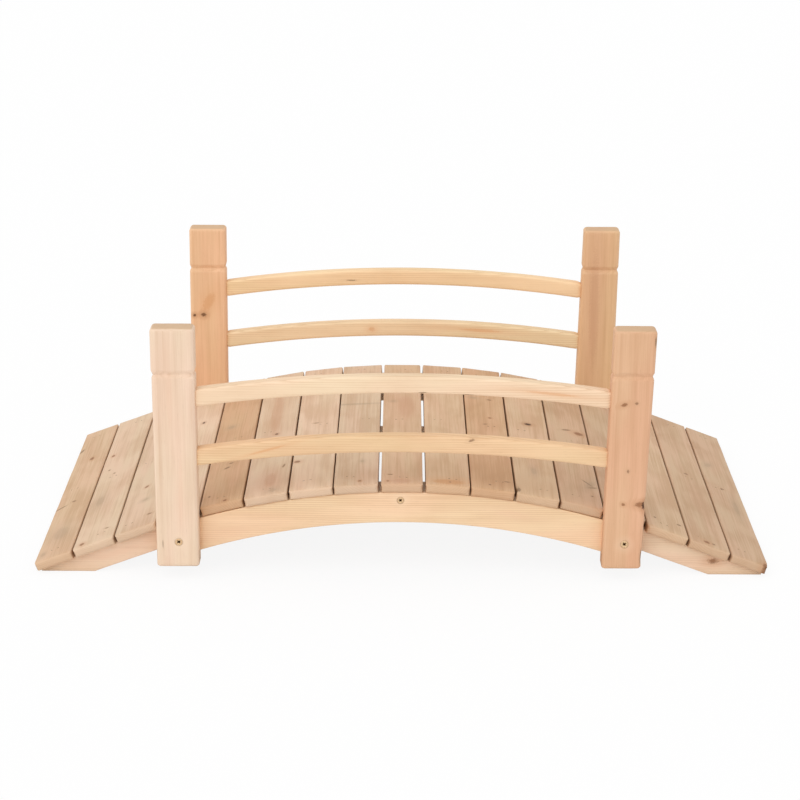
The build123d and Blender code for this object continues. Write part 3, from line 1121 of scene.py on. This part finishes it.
class FOOTBRIDGE_OT_stage(bpy.types.Operator):
    """Lay the pale floor, hang the soft lamps and place the camera"""

    bl_idname = "footbridge.stage"
    bl_label = "Stage"

    def execute(self, context):
        scene = context.scene
        stage = scene.footbridge_stage
        add_floor(stage)
        add_world(scene, stage)
        add_key_lamp(scene, stage)
        add_camera(scene, stage)
        scene.view_settings.view_transform = "Standard"
        return {"FINISHED"}


def add_floor(stage):
    """Pale floor that the camera sees as near white, with the bridge's shadow on it."""
    half = 30.0
    mesh = bpy.data.meshes.new("floor")
    mesh.from_pydata([(-half, -half, 0), (half, -half, 0), (half, half, 0), (-half, half, 0)], [], [(0, 1, 2, 3)])
    material, n = new_material("floor_white")
    matt = n.new("ShaderNodeBsdfDiffuse", {"Color": (0.95, 0.95, 0.95, 1.0)})
    white = n.new("ShaderNodeEmission", {"Color": (1.0, 1.0, 1.0, 1.0), "Strength": 1.0})
    seen = n.new("ShaderNodeLightPath").outputs["Is Camera Ray"]
    n.surface(n.new("ShaderNodeMixShader", {
        0: n.math("MULTIPLY", seen, stage.floor_glow), 1: matt.outputs[0], 2: white.outputs[0]}))
    mesh.materials.append(material)
    floor = bpy.data.objects.new("floor", mesh)
    bpy.context.scene.collection.objects.link(floor)


def add_world(scene, stage):
    """Even light from all round, which the camera and shiny metal see as plain white."""
    world = bpy.data.worlds.new("soft_dome")
    scene.world = world
    n = empty_tree(world)
    rays = n.new("ShaderNodeLightPath").outputs
    mirrored = n.math("MAXIMUM", rays["Is Glossy Ray"], rays["Is Transmission Ray"])
    plain = n.math("MAXIMUM", rays["Is Camera Ray"], mirrored)
    light = n.new("ShaderNodeBackground", {
        "Color": (1.0, 1.0, 1.0, 1.0), "Strength": n.ease(plain, 0.0, 1.0, stage.dome, 1.0)})
    n.surface(light, "ShaderNodeOutputWorld")


def add_key_lamp(scene, stage):
    """Broad soft lamp at the front left, which lights the floor evenly."""
    lamp = bpy.data.lights.new("key_lamp", "SUN")
    lamp.energy = stage.key
    lamp.angle = stage.key_spread
    place = bpy.data.objects.new("key_lamp", lamp)
    scene.collection.objects.link(place)
    place.rotation_euler = Vector((0.35, 0.60, -0.72)).to_track_quat("-Z", "Y").to_euler()


def add_camera(scene, stage):
    """Camera at the viewing angle of the bridge's picture."""
    level = math.cos(stage.pitch)
    forward = Vector((math.sin(stage.yaw) * level, math.cos(stage.yaw) * level, -math.sin(stage.pitch)))
    right = Vector((math.cos(stage.yaw), -math.sin(stage.yaw), 0))
    down = forward.cross(right)
    side = right * math.cos(stage.roll) + down * math.sin(stage.roll)
    lower = down * math.cos(stage.roll) - right * math.sin(stage.roll)
    lens = bpy.data.cameras.new("camera")
    lens.sensor_width = 36.0
    lens.lens = stage.lens
    lens.clip_end = 200.0
    camera = bpy.data.objects.new("camera", lens)
    scene.collection.objects.link(camera)
    axes = Matrix((side, -lower, -forward)).transposed().to_4x4()
    camera.matrix_world = Matrix.Translation(stage.eye) @ axes
    scene.camera = camera


# Add-on

OPERATORS = (
    FOOTBRIDGE_OT_deck_boards,
    FOOTBRIDGE_OT_stringers,
    FOOTBRIDGE_OT_face_boards,
    FOOTBRIDGE_OT_posts,
    FOOTBRIDGE_OT_rails,
    FOOTBRIDGE_OT_screws,
    FOOTBRIDGE_OT_staples,
    FOOTBRIDGE_OT_stage,
)


class FOOTBRIDGE_PT_panel(bpy.types.Panel):
    """Settings and steps of the footbridge"""

    bl_idname = "FOOTBRIDGE_PT_panel"
    bl_label = "Footbridge"
    bl_space_type = "VIEW_3D"
    bl_region_type = "UI"
    bl_category = "Footbridge"

    def draw(self, context):
        for attribute, group in SETTINGS.items():
            box = self.layout.box()
            box.label(text=group.__doc__.rstrip("."))
            for name in group.__annotations__:
                box.prop(getattr(context.scene, attribute), name)
        for operator in OPERATORS:
            self.layout.operator(operator.bl_idname)


CLASSES = (*SETTINGS.values(), *OPERATORS, FOOTBRIDGE_PT_panel)


def register():
    for cls in CLASSES:
        bpy.utils.register_class(cls)
    for attribute, group in SETTINGS.items():
        setattr(bpy.types.Scene, attribute, bpy.props.PointerProperty(type=group))


def unregister():
    for attribute in SETTINGS:
        delattr(bpy.types.Scene, attribute)
    for cls in reversed(CLASSES):
        bpy.utils.unregister_class(cls)


def main():
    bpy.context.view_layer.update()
    register()
    for operator in OPERATORS:
        group, step = operator.bl_idname.split(".")
        result = getattr(getattr(bpy.ops, group), step)()
        if result != {"FINISHED"}:
            raise RuntimeError(f"{operator.bl_label} did not finish")


if __name__ == "__main__":
    main()
